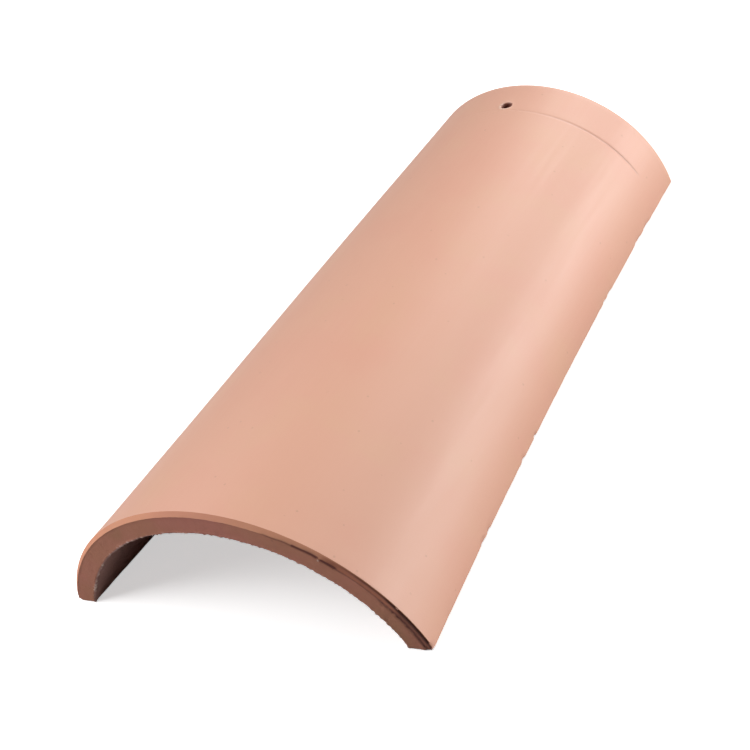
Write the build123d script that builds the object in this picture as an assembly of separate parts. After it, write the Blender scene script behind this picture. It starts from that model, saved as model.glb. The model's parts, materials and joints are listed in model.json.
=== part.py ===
"""Tapered half-barrel clay roof tile, modelled as it lies on a level floor with its hollow side down.

One fired piece: an arched shell, wider at one end, with a nail hole and a scored line near its narrow end.
Millimetres. +Y runs along the tile from the wide end to the narrow end, +X across it and +Z up.
The origin is under the middle of the tile, in the plane that its two long edges rest on.
"""

from build123d import *
import math
import os

# Length and wall of the tile.
TILE_LENGTH = 400.0
WALL = 13.0

# Each cross-section is an elliptical arch. Its width is taken at the floor, and its height at the crown.
# The drop is how far the centre of the ellipse lies under the floor: a larger drop makes a flatter arch.
WIDE_END_WIDTH = 218.0
WIDE_END_HEIGHT = 73.0
WIDE_END_DROP = 25.0
WAIST_WIDTH = 184.0
WAIST_HEIGHT = 72.0
WAIST_DROP = 2.0
NARROW_END_WIDTH = 166.0
NARROW_END_HEIGHT = 71.0
NARROW_END_DROP = 6.0

# The arches run on past the floor by this much, and the long edges are then cut off flat.
FOOT_TRIM = 5.0

# Band cut at a slant around the outside of the wide end, and the rubbed arrises of the other edges.
RIM_BEVEL = 2.1
ARRIS = 1.0

# Nail hole through the crown, with a countersunk mouth.
NAIL_HOLE_DIAMETER = 6.5
NAIL_HOLE_FROM_END = 24.5
NAIL_HOLE_LIP = 0.6

# Line scored across the back with a pointed tool, beside the nail hole. Its length is measured round the back.
SCORE_FROM_END = 29.5
SCORE_LENGTH = 196.0
SCORE_WIDTH = 1.8
SCORE_DEPTH = 0.7

WIDE_END_Y = -TILE_LENGTH / 2
NARROW_END_Y = TILE_LENGTH / 2
TOUCH = 0.01


def across_plane(y):
    """Upright plane across the tile at y, seen from the wide end."""
    return Plane(origin=(0, y, 0), x_dir=(1, 0, 0), z_dir=(0, -1, 0))


def arch_radii(width, height, drop):
    """Half-axes across and up of the ellipse that is this wide at the floor and this high."""
    up = height + drop
    across = width / 2 / math.sqrt(1 - (drop / up) ** 2)
    return across, up


def arch_face(width, height, drop, y, inset):
    """The area under an arch in the upright plane at y, with its outline moved in by inset."""
    across, up = arch_radii(width, height, drop)
    across -= inset
    up -= inset
    foot_angle = math.degrees(math.asin((drop - FOOT_TRIM) / up))
    with BuildSketch(across_plane(y)) as area:
        with BuildLine():
            arch = EllipticalCenterArc((0, -drop), across, up, foot_angle, arc_size=180 - 2 * foot_angle)
            Line(arch @ 1, arch @ 0)
        make_face()
    return area.sketch


def arch_body(inset=0.0):
    """Solid arched bar that runs the length of the tile through its waist, cut off flat at the floor."""
    sections = [
        arch_face(WIDE_END_WIDTH, WIDE_END_HEIGHT, WIDE_END_DROP, WIDE_END_Y, inset),
        arch_face(WAIST_WIDTH, WAIST_HEIGHT, WAIST_DROP, 0.0, inset),
        arch_face(NARROW_END_WIDTH, NARROW_END_HEIGHT, NARROW_END_DROP, NARROW_END_Y, inset),
    ]
    return split(loft(sections), bisect_by=Plane.XY, keep=Keep.TOP)


def rim_arches(body, y):
    """The arched edges that lie in the upright plane at y, shortest first."""
    at_rim = body.edges().filter_by_position(Axis.Y, y - TOUCH, y + TOUCH)
    return at_rim.filter_by(GeomType.LINE, reverse=True).sort_by(Edge.length)


def shell():
    """The arched wall: the bevelled outer body less the hollow, with its other edges rubbed down."""
    outer = arch_body()
    outer = chamfer(rim_arches(outer, WIDE_END_Y), RIM_BEVEL)
    wall = outer - arch_body(WALL)
    arrises = wall.edges().filter_by_position(Axis.Z, -TOUCH, TOUCH)
    arrises += rim_arches(wall, NARROW_END_Y)
    arrises += rim_arches(wall, WIDE_END_Y)[:1]
    return chamfer(arrises, ARRIS)


def with_nail_hole(body):
    """Straight hole down through the crown, countersunk from above."""
    centre = Pos(0, NARROW_END_Y - NAIL_HOLE_FROM_END, 0)
    drilled = body - extrude(centre * Circle(NAIL_HOLE_DIAMETER / 2), NARROW_END_HEIGHT * 2)
    mouths = drilled.edges().filter_by(lambda edge: edge.is_closed).sort_by(Axis.Z)
    return chamfer(mouths[-1], NAIL_HOLE_LIP)


def with_scored_line(body):
    """V-shaped line cut into the back, in the upright plane just behind the nail hole."""
    y = NARROW_END_Y - SCORE_FROM_END
    back = section(arch_body(), section_by=across_plane(y)).edges().sort_by(Edge.length)[-1]
    margin = (1 - SCORE_LENGTH / back.length) / 2
    path = back.trim(margin, 1 - margin)
    outward = Vector((path @ 0).X, 0, (path @ 0).Z).normalized()
    start = Plane(origin=path @ 0, x_dir=outward, z_dir=path % 0)
    vee = Polygon((-SCORE_DEPTH, 0), (SCORE_DEPTH, SCORE_WIDTH), (SCORE_DEPTH, -SCORE_WIDTH), align=None)
    return body - sweep(start * vee, path=path)


tile = with_scored_line(with_nail_hole(shell()))

os.makedirs("parts", exist_ok=True)
export_step(tile, "parts/barrel_tile.step")
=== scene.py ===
# %% [markdown]
# # A clay barrel tile
# This roof tile is one piece of fired clay: a tapered half barrel, wider and a little flared at one end.
# Its long edges rest on the floor, and it has a nail hole and a scored line near its narrow end.
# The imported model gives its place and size, and this lesson builds a finer mesh over it, in the same frame.

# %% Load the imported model
import json
import math
from collections import namedtuple

import bmesh
import bpy
from mathutils import Matrix, Vector, noise

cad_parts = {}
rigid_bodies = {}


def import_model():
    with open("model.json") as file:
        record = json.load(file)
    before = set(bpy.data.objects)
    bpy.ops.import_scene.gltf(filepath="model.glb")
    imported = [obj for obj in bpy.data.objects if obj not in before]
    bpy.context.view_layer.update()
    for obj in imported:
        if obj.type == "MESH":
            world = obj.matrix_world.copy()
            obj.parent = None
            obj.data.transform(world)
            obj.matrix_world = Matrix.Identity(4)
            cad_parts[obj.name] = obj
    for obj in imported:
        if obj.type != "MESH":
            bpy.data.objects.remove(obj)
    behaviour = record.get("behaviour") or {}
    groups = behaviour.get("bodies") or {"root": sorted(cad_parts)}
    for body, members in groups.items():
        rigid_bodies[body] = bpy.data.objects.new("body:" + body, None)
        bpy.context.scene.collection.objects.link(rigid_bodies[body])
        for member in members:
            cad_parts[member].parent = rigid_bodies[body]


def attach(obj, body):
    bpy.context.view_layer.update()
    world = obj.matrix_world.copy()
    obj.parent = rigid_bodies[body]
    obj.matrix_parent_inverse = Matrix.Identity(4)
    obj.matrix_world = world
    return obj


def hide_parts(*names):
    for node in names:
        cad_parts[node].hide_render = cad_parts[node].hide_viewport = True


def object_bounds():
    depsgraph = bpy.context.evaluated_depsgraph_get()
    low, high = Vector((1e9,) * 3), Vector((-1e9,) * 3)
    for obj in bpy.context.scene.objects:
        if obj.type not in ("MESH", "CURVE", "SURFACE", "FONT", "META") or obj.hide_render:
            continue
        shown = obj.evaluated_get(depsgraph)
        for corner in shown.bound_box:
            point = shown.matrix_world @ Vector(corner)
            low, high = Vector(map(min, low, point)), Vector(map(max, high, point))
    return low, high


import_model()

cad_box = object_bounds()
print("packed model:", [tuple(round(v, 4) for v in corner) for corner in cad_box])

# %% [markdown]
# ## The shape in numbers
# Each cross-section of the back is part of an ellipse that stands on the floor.
# Three of them fix the tile: the wide end, the waist and the narrow end. A quadratic runs through the three,
# so the wide end flares as it does on the real tile. The wall keeps nearly one thickness all round.

# %% Sizes, in metres
MM = 0.001
TILE_LENGTH = 400 * MM
WIDE_END_Y = -TILE_LENGTH / 2
NARROW_END_Y = TILE_LENGTH / 2
WALL = 13 * MM

Arch = namedtuple("Arch", "width height drop")
WIDE_END = Arch(218 * MM, 73 * MM, 25 * MM)
WAIST = Arch(184 * MM, 72 * MM, 2 * MM)
NARROW_END = Arch(166 * MM, 71 * MM, 6 * MM)


def through_three(y, at_wide, at_waist, at_narrow):
    """The value at y of a quadratic, from its values at the wide end, the waist and the narrow end."""
    t = y / NARROW_END_Y
    return at_wide * t * (t - 1) / 2 + at_waist * (1 - t * t) + at_narrow * t * (t + 1) / 2


def half_axes(y):
    """Half-axes across and up of the back's ellipse at y, and how far its centre lies under the floor."""
    width, height, drop = (through_three(y, *values) for values in zip(WIDE_END, WAIST, NARROW_END))
    up = height + drop
    return width / 2 / math.sqrt(1 - (drop / up) ** 2), up, drop


for y in (WIDE_END_Y, 0, NARROW_END_Y):
    print("half-axes and drop in mm at y", round(y / MM), [round(v / MM, 1) for v in half_axes(y)])

# %% [markdown]
# ## Picking by place
# Operators work on what is selected, so each step first selects what it is about to change.
# These helpers do it by place: a test is put to each vertex, and an edge or face counts when all its
# corners pass.

# %% Selection helpers
TOUCH = 0.02 * MM


def start_piece(name):
    """A new mesh object with nothing in it, open in edit mode."""
    bpy.ops.object.select_all(action="DESELECT")
    bpy.ops.mesh.primitive_plane_add(size=MM)
    piece = bpy.context.object
    piece.name = piece.data.name = name
    bpy.ops.object.mode_set(mode="EDIT")
    bpy.ops.mesh.delete(type="VERT")
    return piece


def pick(kind, test):
    """In edit mode, selects the VERT, EDGE or FACE elements whose corners all pass, and returns how many."""
    bpy.ops.mesh.select_mode(type=kind)
    bpy.ops.mesh.select_all(action="DESELECT")
    mesh = bmesh.from_edit_mesh(bpy.context.object.data)
    passed = {vertex for vertex in mesh.verts if not vertex.hide and test(vertex.co)}
    if kind == "VERT":
        found = passed
    else:
        elements = mesh.edges if kind == "EDGE" else mesh.faces
        found = [element for element in elements if all(v in passed for v in element.verts)]
    for element in found:
        element.select_set(True)
    bmesh.update_edit_mesh(bpy.context.object.data)
    return len(found)


def unpick(test):
    """Takes the selected edges whose corners all pass the test out of the selection."""
    mesh = bmesh.from_edit_mesh(bpy.context.object.data)
    for edge in mesh.edges:
        if edge.select and all(test(v.co) for v in edge.verts):
            edge.select_set(False)
    bmesh.update_edit_mesh(bpy.context.object.data)


def depth_in_wall(co):
    """How deep a point lies under the back of the tile, measured square to it."""
    across, up, drop = half_axes(co.y)
    share = math.hypot(co.x / across, (co.z + drop) / up)
    slope = math.hypot(co.x / across**2, (co.z + drop) / up**2) / share
    return (1 - share) / slope


# %% [markdown]
# ## Arches, then skins
# The real tile is a slab of clay laid over a tapered former. Here one vertex is spun from the right foot
# over the crown to the left foot, which leaves an arch of even steps, and the arch is then stretched into
# its ellipse. Twenty-one such arches stand along the tile, and bridging them gives the skin of the back.
# A smaller set inside gives the hollow. This follows the tile's own sections closely, where a bent and
# scaled cylinder would only come near them.

# %% Spin the arches and bridge them
ARCH_STEPS = 160
STATIONS = 21
ROWS_BETWEEN = 4


def spin_arch(y, inset):
    """One arch of vertices at y, inside the back by inset, with both its feet on the floor."""
    across, up, drop = half_axes(y)
    across, up = across - inset, up - inset
    foot = math.asin(drop / up)
    centre = (0, y, -drop)
    arch = start_piece("arch")
    bpy.ops.mesh.primitive_plane_add(size=MM, location=(up * math.cos(foot), y, 0))
    bpy.ops.mesh.merge(type="CENTER")
    bpy.ops.mesh.spin(steps=ARCH_STEPS, angle=math.pi - 2 * foot, center=centre, axis=(0, 1, 0))
    bpy.ops.mesh.select_all(action="SELECT")
    bpy.ops.transform.resize(value=(across / up, 1, 1), center_override=centre)
    bpy.ops.object.mode_set(mode="OBJECT")
    return arch


def join(pieces):
    """Makes one object of several, and returns it."""
    bpy.ops.object.select_all(action="DESELECT")
    for piece in pieces:
        piece.select_set(True)
    bpy.context.view_layer.objects.active = pieces[0]
    bpy.ops.object.join()
    return pieces[0]


def bridge_skin(inset):
    """The whole back, moved in by inset, as one open sheet."""
    sheet = join([spin_arch(WIDE_END_Y + TILE_LENGTH * i / (STATIONS - 1), inset) for i in range(STATIONS)])
    bpy.ops.object.mode_set(mode="EDIT")
    bpy.ops.mesh.select_all(action="SELECT")
    bpy.ops.mesh.bridge_edge_loops(type="SINGLE", number_cuts=ROWS_BETWEEN, interpolation="LINEAR")
    bpy.ops.object.mode_set(mode="OBJECT")
    return sheet


tile = join([bridge_skin(0), bridge_skin(WALL)])
tile.name = tile.data.name = "clay_tile"
print("two skins:", len(tile.data.polygons), "faces")

# %% [markdown]
# ## Closing the wall
# The gap between the two skins is closed by bridging: first along each foot, then round each end.
# Now the mesh is a closed wall, and its normals can be turned outwards.

# %% Bridge the feet and the ends
WALL_CUTS = 5


def on_floor(co):
    """True for a point in the plane that the long edges rest on."""
    return abs(co.z) < TOUCH


bpy.ops.object.mode_set(mode="EDIT")
for side in (1, -1):
    pick("EDGE", lambda co: on_floor(co) and co.x * side > 0)
    bpy.ops.mesh.bridge_edge_loops(type="SINGLE", number_cuts=WALL_CUTS, interpolation="LINEAR")
for end in (WIDE_END_Y, NARROW_END_Y):
    pick("EDGE", lambda co: abs(co.y - end) < TOUCH)
    unpick(on_floor)
    bpy.ops.mesh.bridge_edge_loops(type="SINGLE", number_cuts=WALL_CUTS, interpolation="LINEAR")
bpy.ops.mesh.select_all(action="SELECT")
bpy.ops.mesh.remove_doubles(threshold=TOUCH)
bpy.ops.mesh.normals_make_consistent(inside=False)
print("open edges:", sum(not edge.is_manifold for edge in bmesh.from_edit_mesh(tile.data).edges))

# %% [markdown]
# ## Worn edges
# The outer rim of the wide end has a slanted band, and every other edge is only rubbed down.
# A bevel does both. The small one comes first and takes every sharp edge but that rim, so the corners at
# the feet are already round when the wide one runs into them.

# %% Bevel the rim band and the other edges
BAND = 2.1 * MM
ARRIS = 1.0 * MM
SHARP_ANGLE = math.radians(60)


def on_outer_rim(co):
    """True for a point on the outer edge of the wide end."""
    return abs(co.y - WIDE_END_Y) < TOUCH and depth_in_wall(co) < TOUCH


bpy.ops.mesh.select_mode(type="EDGE")
bpy.ops.mesh.select_all(action="DESELECT")
bpy.ops.mesh.edges_select_sharp(sharpness=SHARP_ANGLE)
unpick(on_outer_rim)
bpy.ops.mesh.bevel(offset=ARRIS, segments=3, profile=0.5, affect="EDGES", clamp_overlap=False)
pick("EDGE", on_outer_rim)
bpy.ops.mesh.bevel(offset=BAND, segments=1, affect="EDGES", clamp_overlap=False)
print("after bevels:", len(bmesh.from_edit_mesh(tile.data).faces), "faces")

# %% [markdown]
# ## A finer mesh where the detail is
# The wide rim is torn, the long outer edges are nicked, a line is scored near the narrow end, and there is
# a nail hole. Only these places need small faces, so only they are subdivided, and the plain back keeps
# its large ones.

# %% Subdivide the rim, the long edges, the scored line and the nail hole
RIM_ZONE = 9 * MM
EDGE_ZONE = 9 * MM
EDGE_DEPTH = 4 * MM
SCORE_Y = NARROW_END_Y - 29.5 * MM
SCORE_ZONE = 3.5 * MM
HOLE_Y = NARROW_END_Y - 24.5 * MM
HOLE_RADIUS = 3.25 * MM
HOLE_ZONE = 8 * MM

pick("FACE", lambda co: co.y < WIDE_END_Y + RIM_ZONE)
bpy.ops.mesh.subdivide(number_cuts=2)
pick("FACE", lambda co: co.z < EDGE_ZONE and co.y > WIDE_END_Y + RIM_ZONE - TOUCH
     and depth_in_wall(co) < EDGE_DEPTH)
bpy.ops.mesh.subdivide(number_cuts=2)
pick("FACE", lambda co: abs(co.x) < HOLE_ZONE and HOLE_Y - HOLE_ZONE < co.y < HOLE_Y + HOLE_ZONE)
bpy.ops.mesh.subdivide(number_cuts=3)

SHORTEST_LENGTHWISE = 0.2 * MM


def pick_lengthwise(low, high):
    """Selects the edges on the back that run along the tile and lie between two places on its length."""
    pick("EDGE", lambda co: low < co.y < high and depth_in_wall(co) < TOUCH)
    mesh = bmesh.from_edit_mesh(tile.data)
    for edge in mesh.edges:
        if edge.select and abs(edge.verts[0].co.y - edge.verts[1].co.y) < SHORTEST_LENGTHWISE:
            edge.select_set(False)
    bmesh.update_edit_mesh(tile.data)


pick_lengthwise(SCORE_Y - SCORE_ZONE, SCORE_Y + SCORE_ZONE)
bpy.ops.mesh.subdivide(number_cuts=5)
print("fine mesh:", len(bmesh.from_edit_mesh(tile.data).faces), "faces")
bpy.ops.object.mode_set(mode="OBJECT")

# %% [markdown]
# ## The nail hole
# The hole was pushed through the wet clay with a round punch, so its mouth is a little wider than its bore.
# A cutter of that shape is taken away with a boolean. Moving the vertices of the back into a ring would also
# make a hole, but it would pull the faces round it out of shape.

# %% Cut the nail hole
HOLE_SIDES = 48
MOUTH_RADIUS = 3.9 * MM
MOUTH_DEPTH = 0.6 * MM
CUTTER_LENGTH = 60 * MM
crown_z = through_three(HOLE_Y, WIDE_END.height, WAIST.height, NARROW_END.height)

bpy.ops.object.select_all(action="DESELECT")
bpy.ops.mesh.primitive_cylinder_add(vertices=HOLE_SIDES, radius=HOLE_RADIUS, depth=CUTTER_LENGTH,
                                    location=(0, HOLE_Y, crown_z - MOUTH_DEPTH - CUTTER_LENGTH / 2))
cutter = bpy.context.object
bpy.ops.object.transform_apply()
bpy.ops.object.mode_set(mode="EDIT")
pick("FACE", lambda co: co.z > crown_z - 2 * MOUTH_DEPTH)
bpy.ops.mesh.extrude_region_move(TRANSFORM_OT_translate={"value": (0, 0, 2 * MOUTH_DEPTH)})
flare = 1 + 2 * (MOUTH_RADIUS / HOLE_RADIUS - 1)
bpy.ops.transform.resize(value=(flare, flare, 1), center_override=(0, HOLE_Y, crown_z))
bpy.ops.object.mode_set(mode="OBJECT")

bpy.ops.object.select_all(action="DESELECT")
bpy.context.view_layer.objects.active = tile
tile.select_set(True)
punch = tile.modifiers.new("nail_hole", "BOOLEAN")
punch.operation = "DIFFERENCE"
punch.solver = "EXACT"
punch.object = cutter
bpy.ops.object.modifier_apply(modifier=punch.name)
bpy.data.objects.remove(cutter)
print("with the nail hole:", len(tile.data.polygons), "faces")

# %% [markdown]
# ## Pressing detail into the clay
# A score, a chip and the roughness of a cut face all move the surface a little in or out.
# Each is a vertex group, painted here by rule instead of by brush, and a Displace modifier that pushes
# along the normals where the group has weight. The rules use two measures of a point: how far round the
# back it lies from the crown, positive to the right, and how deep in the wall. Both are kept on the mesh:
# the grain follows the first, and the second tells which face gets which finish.

# %% Measures of a point, and the two helpers that press detail
def around_the_back(co):
    """Distance round the back from the crown to a point, positive on the right.
    It is worked out from the pace at the crown, half way and at the point."""
    across, up, drop = half_axes(co.y)
    turn = math.atan2(co.x / across, (co.z + drop) / up)
    pace = [math.hypot(across * math.cos(turn * part), up * math.sin(turn * part)) for part in (0, 0.5, 1)]
    return turn * (pace[0] + 4 * pace[1] + pace[2]) / 6


def rise(value, start, end):
    """0 up to start, 1 from end on, and a smooth step between; start may also be the larger one."""
    t = min(1, max(0, (value - start) / (end - start)))
    return t * t * (3 - 2 * t)


def within(value, low, high, fade):
    """1 between low and high, and down to 0 over the distance fade outside them."""
    return rise(value, low - fade, low) * rise(value, high + fade, high)


SEED_STEPS = (7.3, 1.7)


def ripple(value, wavelength, seed):
    """Smooth noise from -1 to 1 along a line. Each seed is another line through the same noise."""
    return noise.noise((value / wavelength, seed * SEED_STEPS[0], seed * SEED_STEPS[1]))


Spot = namedtuple("Spot", "around along depth co normal")
spots = [Spot(around_the_back(v.co), v.co.y, depth_in_wall(v.co), v.co.copy(), v.normal.copy())
         for v in tile.data.vertices]
for measure in ("around", "depth"):
    layer = tile.data.attributes.new(measure, "FLOAT", "POINT")
    layer.data.foreach_set("value", [getattr(spot, measure) for spot in spots])


def press(name, rule, push, texture=None, keep=False):
    """Pushes the surface along its normals by push times the weight that the rule gives each spot.
    With keep, the weights stay on the mesh as a mask for the materials."""
    weights = [min(1, max(0, rule(spot))) for spot in spots]
    group = tile.vertex_groups.new(name="press")
    for index, weight in enumerate(weights):
        if weight:
            group.add([index], weight, "REPLACE")
    if keep:
        tile.data.attributes.new(name, "FLOAT", "POINT").data.foreach_set("value", weights)
    displace = tile.modifiers.new("press", "DISPLACE")
    displace.vertex_group = group.name
    displace.strength = push
    displace.mid_level = 0
    if texture:
        displace.texture = texture
        displace.texture_coords = "LOCAL"
    bpy.ops.object.modifier_apply(modifier="press")
    tile.vertex_groups.clear()
    print(f"{name}: {sum(w > 0 for w in weights)} vertices, up to {abs(push) / MM:.2f} mm")


def clouds(name, size, depth):
    """A soft procedural noise for Displace, from 0 to 1, with lumps of about this size."""
    texture = bpy.data.textures.new(name, "CLOUDS")
    texture.noise_scale = size
    texture.noise_depth = depth
    return texture


# %% [markdown]
# ## The scored line and the lip of the nail hole
# The line was drawn with a pointed tool from the nail hole round to the right. It starts faint and ends deep,
# and a very light trace of it goes on to the left of the hole; its mask also paints shade into the groove.
# The punch left a low ridge round the hole, and its mask makes the ridge paler. The bore is pressed by next
# to nothing: that press is there for its mask, which paints shade into the bore.

# %% Press the score and raise the lip
SCORE_DEPTH = 0.42 * MM
SCORE_HALF_WIDTH = 1.0 * MM
SCORE_START = 3 * MM
SCORE_DEEP = 70 * MM
SCORE_END = 98 * MM
SCORE_FAINTEST = 0.25
SCORE_WOBBLE = 0.25 * MM
TRACE_SHARE = 0.16
ON_BACK = 0.2 * MM
LIP_HEIGHT = 0.4 * MM
LIP_WIDTH = 2.4 * MM
LIP_LOWEST = 0.15
BORE_PUSH = 0.05 * MM


def score_rule(spot):
    """Deepest on its middle line. It wobbles, deepens to the right, and has a light trace on the left."""
    y_here = SCORE_Y + SCORE_WOBBLE * ripple(spot.around, 30 * MM, 1)
    profile = max(0, 1 - abs(spot.along - y_here) / SCORE_HALF_WIDTH)
    if not profile or spot.depth > 1 * MM:
        return 0
    right = rise(spot.around, SCORE_START, SCORE_DEEP) * (1 - SCORE_FAINTEST) + SCORE_FAINTEST
    right *= rise(spot.around, SCORE_START, 6 * MM) * rise(spot.around, SCORE_END, SCORE_END - 5 * MM)
    left = TRACE_SHARE * within(spot.around, -36 * MM, -6 * MM, 4 * MM)
    return profile * max(right, left)


def lip_rule(spot):
    """Highest at the mouth of the hole, and higher on its near left side than opposite."""
    if spot.depth > ON_BACK or abs(spot.along - HOLE_Y) > HOLE_ZONE:
        return 0
    reach = math.hypot(spot.co.x, spot.along - HOLE_Y)
    side = 0.55 + 0.45 * (HOLE_Y - spot.along - spot.co.x) / (1.5 * max(reach, HOLE_RADIUS))
    return rise(reach, HOLE_RADIUS + LIP_WIDTH, MOUTH_RADIUS) * max(LIP_LOWEST, side)


def bore_rule(spot):
    """The wall of the hole, from just under the back."""
    reach = math.hypot(spot.co.x, spot.along - HOLE_Y)
    return rise(spot.depth, ON_BACK, 0.9 * MM) if reach < MOUTH_RADIUS + 0.1 * MM else 0


# The scored line's mask also darkens the groove as painted shade, and the bore's mask paints shade into the
# hole.
press("scored_line", score_rule, -SCORE_DEPTH, keep=True)
press("bore_painted_shade", bore_rule, -BORE_PUSH, keep=True)
press("punched_lip", lip_rule, LIP_HEIGHT, keep=True)

# %% [markdown]
# ## The torn rim
# The band round the wide end was trimmed smooth from the left foot to past the crown, where its lower edge
# tore faintly in one short stretch and clearly in two more. Further right the blade dragged: the band is
# rough and brown under a thin sharp edge, and near the right foot it left two furrows. All of this is pressed
# into the band and the end beside it, and the masks colour it: the cracks and the furrows get painted shade,
# and the rough stretch gets the brown of torn clay, darkened in part as painted shade of its sunken strip.

# %% Drag and tear the rim band
LOWER_EDGE = 2.5 * MM
UPPER_FURROW = 0.8 * MM
LOWER_FURROW = 3.1 * MM
DRAG_DEPTH = 0.35 * MM
FURROW_DEPTH = 0.7 * MM
CRACK_DEPTH = 0.8 * MM
Crack = namedtuple("Crack", "start end fade strength")
CRACKS = (Crack(40 * MM, 52 * MM, 5 * MM, 0.5), Crack(54 * MM, 67 * MM, 2 * MM, 1),
          Crack(70 * MM, 77 * MM, 2 * MM, 1))


def on_rim(spot):
    """1 over the length of the slanted band, 0 from about a millimetre further along the tile."""
    return rise(spot.along, WIDE_END_Y + 3.2 * MM, WIDE_END_Y + 2.2 * MM)


def dragged_rule(spot):
    """The rough stretch of the band on the right, with an uneven lower edge."""
    uneven = 0.8 + 0.5 * ripple(spot.around, 14 * MM, 8)
    lower_edge = LOWER_EDGE + 0.5 * MM * ripple(spot.around, 10 * MM, 9)
    across_band = within(spot.depth, 0.4 * MM, lower_edge, 0.5 * MM)
    return on_rim(spot) * across_band * rise(spot.around, 58 * MM, 84 * MM) * uneven


def line_at(depth, line, half_width):
    """1 on a line at this depth in the wall, down to 0 at half_width from it."""
    return max(0, 1 - abs(depth - line) / half_width)


def furrow_rule(spot):
    """Two furrows near the right foot, the lower one pitted, and the sunken strip between them."""
    if not on_rim(spot):
        return 0
    strength = 0.55 * rise(spot.around, 72 * MM, 92 * MM) + 0.45 * rise(spot.around, 100 * MM, 112 * MM)
    upper = line_at(spot.depth, UPPER_FURROW, 0.6 * MM) * strength
    pits = 0.7 + 0.6 * noise.noise(spot.co / (1.5 * MM))
    lower = line_at(spot.depth, LOWER_FURROW, 0.9 * MM) * rise(spot.around, 100 * MM, 106 * MM) * pits
    strip = within(spot.depth, UPPER_FURROW, LOWER_FURROW, 0.3 * MM)
    between = 0.4 * strip * rise(spot.around, 106 * MM, 118 * MM)
    return max(upper, lower, between)


def crack_rule(spot):
    """The torn stretches under the band, on a wavering line."""
    if spot.along > WIDE_END_Y + 1.5 * MM:
        return 0
    line = LOWER_EDGE + 0.8 * MM * ripple(spot.around, 9 * MM, 2)
    where = max(crack.strength * within(spot.around, crack.start, crack.end, crack.fade) for crack in CRACKS)
    return where * line_at(spot.depth, line, 1.1 * MM)


# Besides pressing, these masks colour the rim: painted shade in the cracks and the furrows, and torn clay
# partly darkened as painted shade on the dragged stretch.
press("dragged", dragged_rule, -DRAG_DEPTH, keep=True)
press("furrows", furrow_rule, -FURROW_DEPTH, keep=True)
press("cracks", crack_rule, -CRACK_DEPTH, keep=True)

# %% [markdown]
# ## Nibbled edges
# Fired clay chips where it is knocked. The long outer edges have small nicks, the largest of them toward the
# narrow end, and the inner rim of the wide end has crumbs left by the wire that cut the slab. Each nick is
# given by its place along the tile and half its length, both in millimetres.

# %% Nick the edges
NICKS_RIGHT = {152: 7, 136: 8, 84: 5, 76: 3, -43: 2, -62: 3, -116: 3, -125: 4}
NICKS_LEFT = {168: 4, 96: 6, 31: 3, -74: 5, -160: 4}
NICK_HEIGHT = 3.5 * MM
NICK_DEPTH = 1.1 * MM
FOOT_CORNER = 5 * MM
FOOT_WEAR = 1.6 * MM
CRUMB_HEIGHT = 0.8 * MM
DOT_AROUND = 68.5 * MM
DOT_DEPTH = 3.4 * MM
DOT_RADIUS = 0.7 * MM
DOT_WEIGHT = 0.45


def nick_rule(spot):
    """The nicks of this side, with rough edges, and a light rub between them."""
    if spot.co.z > NICK_HEIGHT or spot.depth > EDGE_DEPTH:
        return 0
    nicks = NICKS_RIGHT if spot.around > 0 else NICKS_LEFT
    near = max(rise(abs(spot.along - y * MM), half * MM, 0) for y, half in nicks.items())
    rub = 0.25 * max(0, ripple(spot.along, 7 * MM, 3 + (spot.around > 0)))
    rough = 0.75 + 0.5 * noise.noise(spot.co / (2.5 * MM))
    low_enough = rise(spot.co.z, NICK_HEIGHT, 0.5 * MM)
    return max(near * rough, rub) * low_enough * rise(spot.depth, EDGE_DEPTH, 1.5 * MM)


def rubbed_foot_rule(spot):
    """The outer corner under the wide end's left foot is worn round."""
    if spot.around > 0 or spot.co.z > FOOT_CORNER or spot.depth > FOOT_CORNER:
        return 0
    corner = rise(spot.co.z + spot.depth, 5.5 * MM, 0.5 * MM)
    return corner * rise(spot.along, WIDE_END_Y + 30 * MM, WIDE_END_Y + 8 * MM)


def crumb_rule(spot):
    """Crumbs along the inner rim of the wide end, and one pale dot on the end between two cracks."""
    off_dot = math.hypot(spot.around - DOT_AROUND, spot.depth - DOT_DEPTH)
    if off_dot < DOT_RADIUS and spot.along < WIDE_END_Y + 1 * MM:
        return DOT_WEIGHT
    at_end = rise(spot.along, WIDE_END_Y + 2.5 * MM, WIDE_END_Y + 0.5 * MM)
    edge = rise(abs(spot.depth - WALL), 2.2 * MM, 0.5 * MM) * at_end
    return edge * max(0, noise.noise(spot.co / (1.6 * MM)) + 0.15 * ripple(spot.around, 12 * MM, 5))


press("nicks", nick_rule, -NICK_DEPTH)
press("rubbed_foot", rubbed_foot_rule, -FOOT_WEAR)
press("crumbs", crumb_rule, CRUMB_HEIGHT, keep=True)

# %% [markdown]
# ## An uneven skin
# The back was smoothed by hand, so it waves by about a fifth of a millimetre over a few centimetres.
# The hollow kept the sand of the former and is rougher, and the ends and the undersides of the feet show
# the drag of the cutting wire.

# %% Wave the back and roughen the hollow and the ends
WAVE_DEPTH = 0.22 * MM
SAND_DEPTH = 0.5 * MM
WIRE_DEPTH = 0.35 * MM


def back_rule(spot):
    """The outer skin, fading in past the rim band."""
    return rise(spot.depth, 3 * MM, 0) * rise(spot.along, WIDE_END_Y + 2 * MM, WIDE_END_Y + 20 * MM)


def hollow_rule(spot):
    """The inner skin."""
    return rise(spot.depth, WALL - 2 * MM, WALL - 0.5 * MM)


def end_rule(spot):
    """The cut faces at the ends and under the feet, away from their edges."""
    inside_wall = within(spot.depth, 3 * MM, WALL - 2 * MM, 1 * MM)
    return inside_wall * max(abs(spot.normal.y), abs(spot.normal.z) if spot.co.z < 1 * MM else 0)


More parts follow.
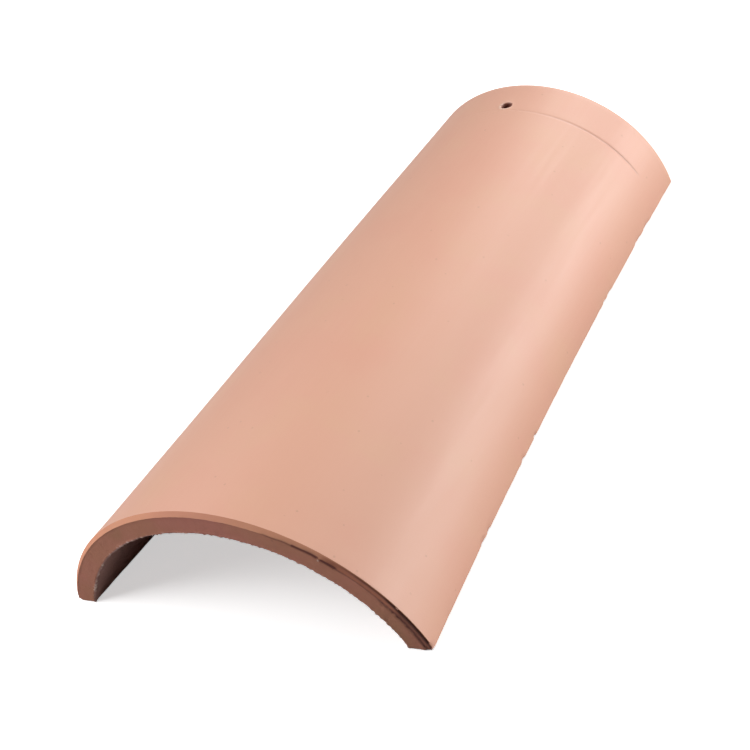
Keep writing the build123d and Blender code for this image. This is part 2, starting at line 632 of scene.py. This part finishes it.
press("hand_smoothing", back_rule, -WAVE_DEPTH, clouds("hand_waves", 60 * MM, 1))
press("former_sand", hollow_rule, -SAND_DEPTH, clouds("sand_lumps", 9 * MM, 3))
press("wire_drag", end_rule, -WIRE_DEPTH, clouds("drag_marks", 3 * MM, 3))

# %% [markdown]
# ## Worn corners and flat feet
# At the two outer corners of the wide end the band meets the bevels of the feet in very small faces, which
# the presses can fold. Smoothing their vertices opens the folds and wears the corners round, as handling
# does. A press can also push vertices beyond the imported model's box, along the tile or up and down, and a
# scale of zero along one axis sets those back.

# %% Smooth the outer corners, set the feet on the floor, and shade
CORNER = 4 * MM
SMOOTH_ANGLE = math.radians(30)

bpy.ops.object.mode_set(mode="EDIT")
worn = pick("VERT", lambda co: abs(co.x) > WIDE_END.width / 2 - CORNER and co.y < WIDE_END_Y + CORNER
            and co.z < CORNER)
bpy.ops.mesh.vertices_smooth(factor=0.5, repeat=12)
print("vertices smoothed at the corners:", worn)
for axis, side in ((2, 0), (2, 1), (1, 0), (1, 1)):
    limit = cad_box[side][axis]
    outward = 1 if side else -1
    beyond = pick("VERT", lambda co: (co[axis] - limit) * outward > 0)
    if beyond:
        scale, centre = [1, 1, 1], [0, 0, 0]
        scale[axis], centre[axis] = 0, limit
        bpy.ops.transform.resize(value=scale, center_override=centre)
    print(f"set back to {'XYZ'[axis]} = {limit / MM:.2f} mm: {beyond} vertices")
bpy.ops.object.mode_set(mode="OBJECT")
bpy.ops.object.shade_smooth_by_angle(angle=SMOOTH_ANGLE)
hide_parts("barrel_tile")
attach(tile, "root")

# %% [markdown]
# ## The finish of fired clay
# The clay is matt and salmon pink, with soft patches that lean to pink or buff, and a few dark specks.
# Four finishes share that body: the smoothed back, the trimmed band, the cut ends and feet, and the sandy
# hollow. What they share is built once as two shader node groups, one for colour and one for grain, and
# each finish gives them its own colours and sizes.

# %% Helpers for node trees
def add_node(tree, kind, values=None, **settings):
    """A node of this kind, with its settings, and with values on its named input sockets."""
    node = tree.nodes.new("ShaderNode" + kind)
    for name, value in settings.items():
        setattr(node, name, value)
    for name, value in (values or {}).items():
        node.inputs[name].default_value = value
    return node


def link(tree, start, end):
    """Joins an output socket to an input socket."""
    tree.links.new(start, end)


def srgb(red, green, blue):
    """A colour given as the eye reads it, 0 to 255, as the linear colour that a shader works in."""
    def linear(level):
        level /= 255
        return level / 12.92 if level <= 0.04045 else ((level + 0.055) / 1.055) ** 2.4
    return (linear(red), linear(green), linear(blue), 1)


def new_group(name, inputs, outputs):
    """An empty shader node group with these sockets, and its input and output nodes."""
    group = bpy.data.node_groups.new(name, "ShaderNodeTree")
    for socket, kind, value in inputs:
        made = group.interface.new_socket(socket, in_out="INPUT", socket_type="NodeSocket" + kind)
        made.default_value = value
    for socket, kind in outputs:
        group.interface.new_socket(socket, in_out="OUTPUT", socket_type="NodeSocket" + kind)
    return group, group.nodes.new("NodeGroupInput"), group.nodes.new("NodeGroupOutput")


def mix_colour(tree, factor, first, second):
    """Mixes two colours, each a socket or a plain value, by a factor socket, and returns the result."""
    mix = add_node(tree, "Mix", data_type="RGBA")
    link(tree, factor, mix.inputs[0])
    for socket, source in ((mix.inputs[6], first), (mix.inputs[7], second)):
        if isinstance(source, tuple):
            socket.default_value = source
        else:
            link(tree, source, socket)
    return mix.outputs[2]


def spread(tree, source, low, high, out_low=0.0, out_high=1.0):
    """Maps a value from low..high to out_low..out_high, smoothly and clamped."""
    limits = {"From Min": low, "From Max": high, "To Min": out_low, "To Max": out_high}
    ramp = add_node(tree, "MapRange", limits, interpolation_type="SMOOTHSTEP")
    link(tree, source, ramp.inputs["Value"])
    return ramp.outputs["Result"]


# %% [markdown]
# ## Patches and specks
# The group takes the clay's colour and the two that its patches lean to. Two large noises place the patches.
# Specks come from a cell pattern: only cells with a high random value show one, so they stay sparse.

# %% The group for the clay's colour
PLAIN_CLAY = (0.7, 0.37, 0.26, 1)
DARK_SPECK = (0.2, 0.08, 0.05, 1)
body, body_in, body_out = new_group(
    "clay_body",
    [("Clay", "Color", PLAIN_CLAY), ("Pink", "Color", PLAIN_CLAY), ("Buff", "Color", PLAIN_CLAY),
     ("Speck", "Color", DARK_SPECK), ("Patches", "Float", 0.5), ("Specks", "Float", 0.5)],
    [("Color", "Color")])
place = add_node(body, "TexCoord").outputs["Object"]


def patch_mask(scale, offset, low, high):
    """A soft mask of patches that are about 1/scale metres across."""
    moved = add_node(body, "Mapping", {"Location": offset})
    link(body, place, moved.inputs["Vector"])
    cloud = add_node(body, "TexNoise", {"Scale": scale, "Detail": 3.0, "Roughness": 0.55})
    link(body, moved.outputs["Vector"], cloud.inputs["Vector"])
    mask = spread(body, cloud.outputs["Fac"], low, high)
    amount = add_node(body, "Math", operation="MULTIPLY")
    link(body, mask, amount.inputs[0])
    link(body, body_in.outputs["Patches"], amount.inputs[1])
    return amount.outputs[0]


pink_patches = patch_mask(16, (0.3, 0.1, 0), 0.42, 0.68)
tinted = mix_colour(body, pink_patches, body_in.outputs["Clay"], body_in.outputs["Pink"])
buff_patches = patch_mask(23, (0.9, 0.4, 0.2), 0.48, 0.72)
tinted = mix_colour(body, buff_patches, tinted, body_in.outputs["Buff"])
CELLS_PER_METRE = 210.0
cells = add_node(body, "TexVoronoi", {"Scale": CELLS_PER_METRE, "Randomness": 1.0})
link(body, place, cells.inputs["Vector"])
chosen = spread(body, cells.outputs["Color"], 0.80, 0.84)
small = spread(body, cells.outputs["Distance"], 0.17, 0.10)
speck = add_node(body, "Math", operation="MULTIPLY")
link(body, chosen, speck.inputs[0])
link(body, small, speck.inputs[1])
amount = add_node(body, "Math", operation="MULTIPLY")
link(body, speck.outputs[0], amount.inputs[0])
link(body, body_in.outputs["Specks"], amount.inputs[1])
link(body, mix_colour(body, amount.outputs[0], tinted, body_in.outputs["Speck"]), body_out.inputs["Color"])
print("clay_body:", len(body.nodes), "nodes")

# %% [markdown]
# ## Grain
# Fired clay has a fine tooth. A noise of about one millimetre, with finer steps in it, makes it, as a
# height that each finish sends to its Bump node. The back and the hollow also have faint lines along their
# length, which follow the surface: they are drawn on the distance round the back that was kept on the mesh.

# %% The group for the grain
LINES_PER_METRE = 420.0
LINE_STRETCH = 0.03
grain, grain_in, grain_out = new_group(
    "clay_grain",
    [("Grain Size", "Float", 0.001), ("Lines", "Float", 0.0)],
    [("Height", "Float"), ("Streaks", "Float")])
place_here = add_node(grain, "TexCoord").outputs["Object"]
per_metre = add_node(grain, "Math", operation="DIVIDE")
per_metre.inputs[0].default_value = 1.0
link(grain, grain_in.outputs["Grain Size"], per_metre.inputs[1])
tooth = add_node(grain, "TexNoise", {"Detail": 4.0, "Roughness": 0.6})
link(grain, place_here, tooth.inputs["Vector"])
link(grain, per_metre.outputs[0], tooth.inputs["Scale"])
around = add_node(grain, "Attribute", attribute_name="around")
axes = add_node(grain, "SeparateXYZ")
link(grain, place_here, axes.inputs[0])
unrolled = add_node(grain, "CombineXYZ")
link(grain, around.outputs["Fac"], unrolled.inputs["X"])
shrunk = add_node(grain, "Math", operation="MULTIPLY")
shrunk.inputs[1].default_value = LINE_STRETCH
link(grain, axes.outputs["Y"], shrunk.inputs[0])
link(grain, shrunk.outputs[0], unrolled.inputs["Y"])
lines = add_node(grain, "TexNoise", {"Scale": LINES_PER_METRE, "Detail": 3.0, "Roughness": 0.5})
link(grain, unrolled.outputs[0], lines.inputs["Vector"])
scaled_lines = add_node(grain, "Math", operation="MULTIPLY")
link(grain, lines.outputs["Fac"], scaled_lines.inputs[0])
link(grain, grain_in.outputs["Lines"], scaled_lines.inputs[1])
height = add_node(grain, "Math", operation="ADD")
link(grain, tooth.outputs["Fac"], height.inputs[0])
link(grain, scaled_lines.outputs[0], height.inputs[1])
link(grain, height.outputs[0], grain_out.inputs["Height"])
link(grain, lines.outputs["Fac"], grain_out.inputs["Streaks"])
print("clay_grain:", len(grain.nodes), "nodes")

# %% [markdown]
# ## Four finishes from the two groups
# Each finish is a Principled shader. Its colour comes from the body group, and where the mesh was scored,
# punched, torn or crumbed, the masks kept on it change the colour. Painted shade darkens the scored line, the
# bore of the nail hole, the cracks and the furrows. The dragged stretch of the band is torn clay, darkened in
# part by painted shade. The lip of the hole is paler, and the crumbs are pale dust. The smoothed back has the
# least tooth and a faint sheen, the trimmed band is more orange, the cut ends and feet are redder and darker,
# and the hollow is sandy.

# %% Make the finishes
SPECK = srgb(150, 98, 78)
FULL_MARK = 0.7
ROUGHNESS_SWING = 0.03


def clay_finish(name, clay, pink, buff, patches, specks, roughness, grain_size, grain_depth, lines, marks):
    """A material of fired clay. marks are pairs of a mask on the mesh and the colour that it brings."""
    material = bpy.data.materials.new(name)
    material.use_nodes = True
    tree = material.node_tree
    shader = tree.nodes["Principled BSDF"]
    colour = add_node(tree, "Group", node_tree=body)
    for socket, value in (("Clay", clay), ("Pink", pink), ("Buff", buff), ("Speck", SPECK),
                          ("Patches", patches), ("Specks", specks)):
        colour.inputs[socket].default_value = value
    tint = colour.outputs["Color"]
    for mask, mark in marks:
        reach = add_node(tree, "Attribute", attribute_name=mask)
        tint = mix_colour(tree, spread(tree, reach.outputs["Fac"], 0.0, FULL_MARK), tint, mark)
    link(tree, tint, shader.inputs["Base Color"])
    texture = add_node(tree, "Group", node_tree=grain)
    texture.inputs["Grain Size"].default_value = grain_size
    texture.inputs["Lines"].default_value = lines
    bump = add_node(tree, "Bump", {"Strength": 1.0, "Distance": grain_depth})
    link(tree, texture.outputs["Height"], bump.inputs["Height"])
    link(tree, bump.outputs["Normal"], shader.inputs["Normal"])
    smoothest, roughest = roughness - ROUGHNESS_SWING, roughness + ROUGHNESS_SWING
    streaked = spread(tree, texture.outputs["Streaks"], 0.3, 0.7, smoothest, roughest)
    link(tree, streaked, shader.inputs["Roughness"])
    return material


# Colours for the torn rim. The furrow and crack colours are painted shade in those recesses. The dragged
# colours are browner torn clay, darkened in part as painted shade of the sunken strip.
DRAGGED_CLAY_AND_SHADE = srgb(178, 112, 88)
DRAGGED_END_CLAY_AND_SHADE = srgb(156, 98, 80)
FURROW_PAINTED_SHADE = srgb(104, 60, 50)
CRACK_PAINTED_SHADE = srgb(116, 66, 54)
DUST = srgb(240, 212, 198)
# On the back, the scored line's colour and the bore's colour are painted shade in the groove and the hole.
# The lip's colour is a paler tint.
back_finish = clay_finish("smoothed_back", srgb(223, 164, 136), srgb(223, 158, 132), srgb(222, 168, 135),
                          patches=0.5, specks=0.2, roughness=0.5,
                          grain_size=1.1 * MM, grain_depth=0.04 * MM, lines=0.15,
                          marks=[("scored_line", srgb(210, 154, 132)), ("punched_lip", srgb(236, 192, 168)),
                                 ("bore_painted_shade", srgb(132, 70, 52))])
back_shader = back_finish.node_tree.nodes["Principled BSDF"]
back_shader.inputs["Sheen Weight"].default_value = 0.3
back_shader.inputs["Specular IOR Level"].default_value = 1.0
band_finish = clay_finish("trimmed_band", srgb(220, 152, 120), srgb(214, 144, 118), srgb(212, 152, 118),
                          patches=0.7, specks=0.3, roughness=0.75,
                          grain_size=1.2 * MM, grain_depth=0.1 * MM, lines=0.0,
                          marks=[("dragged", DRAGGED_CLAY_AND_SHADE), ("furrows", FURROW_PAINTED_SHADE), ("cracks", CRACK_PAINTED_SHADE)])
cut_finish = clay_finish("cut_clay", srgb(194, 130, 105), srgb(200, 127, 112), srgb(178, 126, 95),
                         patches=0.9, specks=0.5, roughness=0.8,
                         grain_size=1.4 * MM, grain_depth=0.25 * MM, lines=0.0,
                         marks=[("dragged", DRAGGED_END_CLAY_AND_SHADE), ("furrows", FURROW_PAINTED_SHADE), ("cracks", CRACK_PAINTED_SHADE),
                                ("crumbs", DUST)])
hollow_finish = clay_finish("sandy_hollow", srgb(194, 148, 138), srgb(188, 136, 128), srgb(198, 152, 134),
                            patches=0.8, specks=0.8, roughness=0.9,
                            grain_size=0.9 * MM, grain_depth=0.3 * MM, lines=0.3,
                            marks=[("crumbs", DUST)])
tile.data.materials.clear()
for finish in (back_finish, band_finish, cut_finish, hollow_finish):
    tile.data.materials.append(finish)

# %% [markdown]
# ## Which face gets which finish
# A face's mean depth in the wall tells the back from the hollow. Between them lie the slanted band at the
# wide end, the cut ends and the feet. All else keeps the first finish, that of the back.

# %% Give the faces their finishes
BAND_SLOT, CUT_SLOT, HOLLOW_SLOT = 1, 2, 3
HOLLOW_FROM = WALL - 0.9 * MM
BAND_FROM = 0.1 * MM
CUT_FROM = 1.9 * MM
END_FACE_Y = NARROW_END_Y - 1.1 * MM
FOOT_FACE_Z = 0.9 * MM
wall_depths = tile.data.attributes["depth"].data
for polygon in tile.data.polygons:
    depth = sum(wall_depths[i].value for i in polygon.vertices) / len(polygon.vertices)
    along, height = polygon.center.y, polygon.center.z
    if depth > HOLLOW_FROM:
        polygon.material_index = HOLLOW_SLOT
    elif BAND_FROM < depth < BAND and along < WIDE_END_Y + BAND:
        polygon.material_index = BAND_SLOT
    elif depth > CUT_FROM and (abs(along) > END_FACE_Y or height < FOOT_FACE_Z):
        polygon.material_index = CUT_SLOT
print("faces of each finish:", [sum(p.material_index == i for p in tile.data.polygons) for i in range(4)])

# %% [markdown]
# ## Floor and backdrop
# The tile lies on a white floor. Light Path's Is Camera Ray gives the floor and the world one look to the
# camera, plain white, and another to the tile: little light comes back up from the floor, so the ends and the
# hollow stay dark as in the photograph. A glow, for the camera only, keeps the shadow but makes it a light
# one. The floor is kept small, because the far side of a floor of 4 m shows grey in low views.

# %% Make the floor and the world
FLOOR_SIZE = 2.4
FLOOR_BOUNCE = 0.5
FLOOR_GLOW = 0.55

bpy.ops.mesh.primitive_plane_add(size=FLOOR_SIZE)
floor = bpy.context.object
floor.name = "floor"
floor_finish = bpy.data.materials.new("floor_white")
floor_finish.use_nodes = True
tree = floor_finish.node_tree
shader = tree.nodes["Principled BSDF"]
shader.inputs["Roughness"].default_value = 1.0
shader.inputs["Specular IOR Level"].default_value = 0.0
rays = add_node(tree, "LightPath")
tint = mix_colour(tree, rays.outputs["Is Camera Ray"], (FLOOR_BOUNCE,) * 3 + (1,), (1.0, 1.0, 1.0, 1))
link(tree, tint, shader.inputs["Base Color"])
glow = mix_colour(tree, rays.outputs["Is Camera Ray"], (0.0, 0.0, 0.0, 1), (FLOOR_GLOW,) * 3 + (1,))
link(tree, glow, shader.inputs["Emission Color"])
shader.inputs["Emission Strength"].default_value = 1.0
floor.data.materials.append(floor_finish)

world = bpy.data.worlds.new("studio")
world.use_nodes = True
tree = world.node_tree
rays = add_node(tree, "LightPath")
link(tree, rays.outputs["Is Camera Ray"], tree.nodes["Background"].inputs["Strength"])
tree.nodes["Background"].inputs["Color"].default_value = (1, 1, 1, 1)
bpy.context.scene.world = world
print("floor of", FLOOR_SIZE, "m, and a world that is white to the camera")

# %% [markdown]
# ## Soft lamps
# Five large soft boxes make the even light of the photograph. Two on the left light the back and, weakly,
# the cut end. Three stand behind the narrow end and to the right, two of them low, so their light glances
# off the far right of the back as a pale sheen, and leaves the far left and the cut end darker.

# %% Place the lamps
MIDDLE = (0, 0, 0.05)
FAR_HALF = (0, 0.1, 0.05)
NEAR_HALF = (0, -0.1, 0.05)


def soft_box(name, place, aim, size, power):
    """A square soft lamp of this size and power in watts at place, turned to the point aim."""
    bpy.ops.object.light_add(type="AREA", location=place)
    lamp = bpy.context.object
    lamp.name = name
    lamp.data.size = size
    lamp.data.energy = power
    lamp.rotation_euler = (Vector(aim) - Vector(place)).to_track_quat("-Z", "Y").to_euler()
    print(f"{name}: {power} W")


soft_box("over_left", (-1.2, 0.2, 1.5), MIDDLE, size=1.0, power=12.5)
soft_box("near_left", (-0.8, -0.6, 0.9), NEAR_HALF, size=0.8, power=12)
soft_box("behind", (0.2, 1.6, 1.0), FAR_HALF, size=1.0, power=13.5)
soft_box("low_behind_right", (1.2, 1.5, 0.45), FAR_HALF, size=0.8, power=16)
soft_box("low_right", (1.6, 0.3, 0.45), MIDDLE, size=0.8, power=14)

# %% [markdown]
# ## The camera
# The camera looks from above the wide end's right side, and is rolled, so the tile lies aslant as in the
# photograph.

# %% Place the camera
CAMERA_PLACE = (0.5553, -0.7240, 0.6075)
CAMERA_AZIMUTH = math.radians(38.81)
CAMERA_ELEVATION = math.radians(33.20)
CAMERA_ROLL = math.radians(20.23)
LENS = 92.98
SENSOR_WIDTH = 36

bpy.ops.object.camera_add(location=CAMERA_PLACE)
camera = bpy.context.object
camera.data.lens = LENS
camera.data.sensor_width = SENSOR_WIDTH
look = Vector((-math.sin(CAMERA_AZIMUTH) * math.cos(CAMERA_ELEVATION),
               math.cos(CAMERA_AZIMUTH) * math.cos(CAMERA_ELEVATION),
               -math.sin(CAMERA_ELEVATION)))
level = Vector((math.cos(CAMERA_AZIMUTH), math.sin(CAMERA_AZIMUTH), 0))
right = level * math.cos(CAMERA_ROLL) + look.cross(level) * math.sin(CAMERA_ROLL)
camera.rotation_euler = Matrix((right, right.cross(look), -look)).transposed().to_euler()
bpy.context.scene.camera = camera
bpy.context.scene.view_settings.view_transform = "Standard"
print("camera at", CAMERA_PLACE, "m with a lens of", LENS, "mm")
